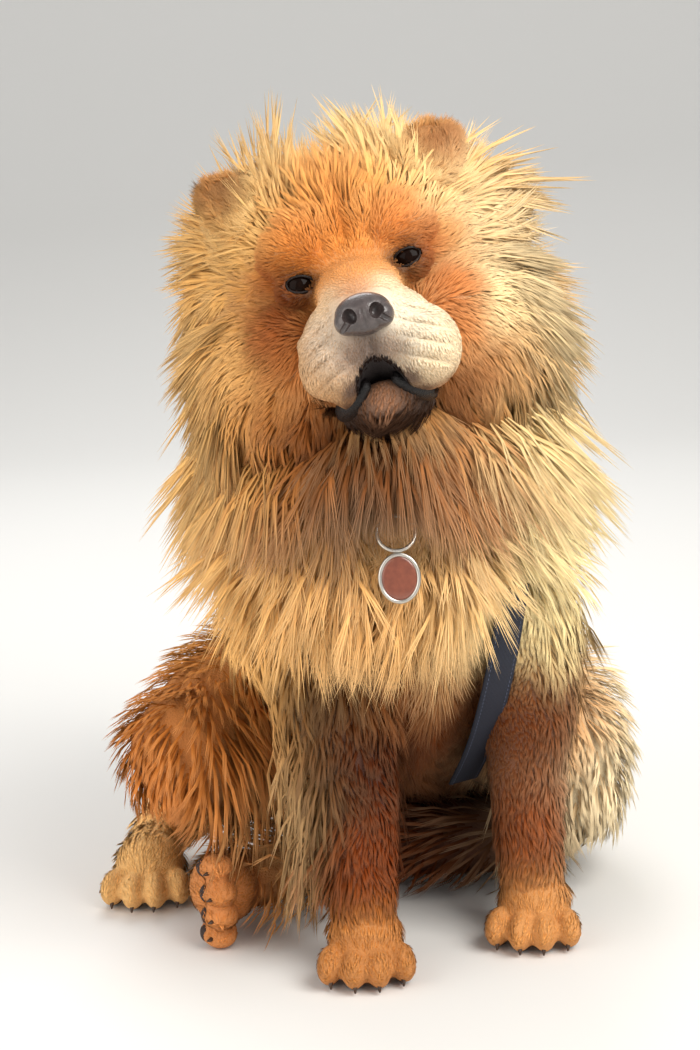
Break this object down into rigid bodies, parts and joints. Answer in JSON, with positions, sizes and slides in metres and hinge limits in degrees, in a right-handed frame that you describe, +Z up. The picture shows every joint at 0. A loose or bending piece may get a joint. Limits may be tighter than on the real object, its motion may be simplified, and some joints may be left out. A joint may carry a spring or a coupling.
{
  "type": "chow chow dog model",
  "caption": "Still life-size model of a sitting chow chow with a thick ruff, curled tail, name tag and chest strap.",
  "frame": {"origin": "on the floor, under the middle of the animal's bounding box", "axes": "-Y the way the animal faces, +X its left side, +Z up"},
  "size_m": [0.4452, 0.5434, 0.6216],
  "materials": {
    "coat_gold": "long gold fur",
    "coat_cream": "long cream fur",
    "coat_rust": "short rust fur",
    "face_fur": "short fawn fur",
    "lip_skin": "dark moist skin",
    "nose_skin": "dark pebbled skin",
    "eye": "wet dark brown",
    "claw": "dark horn",
    "webbing": "navy woven webbing",
    "tag_enamel": "glossy red enamel",
    "tag_steel": "polished steel"
  },
  "bodies": {
    "root": {"head": "coat_gold", "neck": "coat_cream", "torso": "coat_gold", "tail_base": "coat_cream", "tail_curl": "coat_cream", "lower_jaw": "lip_skin", "nose": "nose_skin", "collar": "webbing", "strap": "webbing", "tag": "tag_enamel", "tag_ring": "tag_steel", "eye_right": "eye", "ear_right": "coat_gold", "front_leg_right": "coat_rust", "front_paw_right": "face_fur", "thigh_right": "coat_rust", "hind_paw_right": "face_fur", "hind_shank_right": "coat_rust", "front_claw_right_1": "claw", "hind_claw_right_1": "claw", "front_claw_right_2": "claw", "hind_claw_right_2": "claw", "front_claw_right_3": "claw", "hind_claw_right_3": "claw", "front_claw_right_4": "claw", "hind_claw_right_4": "claw", "eye_left": "eye", "ear_left": "coat_gold", "front_leg_left": "coat_rust", "front_paw_left": "face_fur", "thigh_left": "coat_rust", "hind_paw_left": "face_fur", "hind_shank_left": "coat_rust", "front_claw_left_1": "claw", "hind_claw_left_1": "claw", "front_claw_left_2": "claw", "hind_claw_left_2": "claw", "front_claw_left_3": "claw", "hind_claw_left_3": "claw", "front_claw_left_4": "claw", "hind_claw_left_4": "claw"}
  },
  "joints": []
}
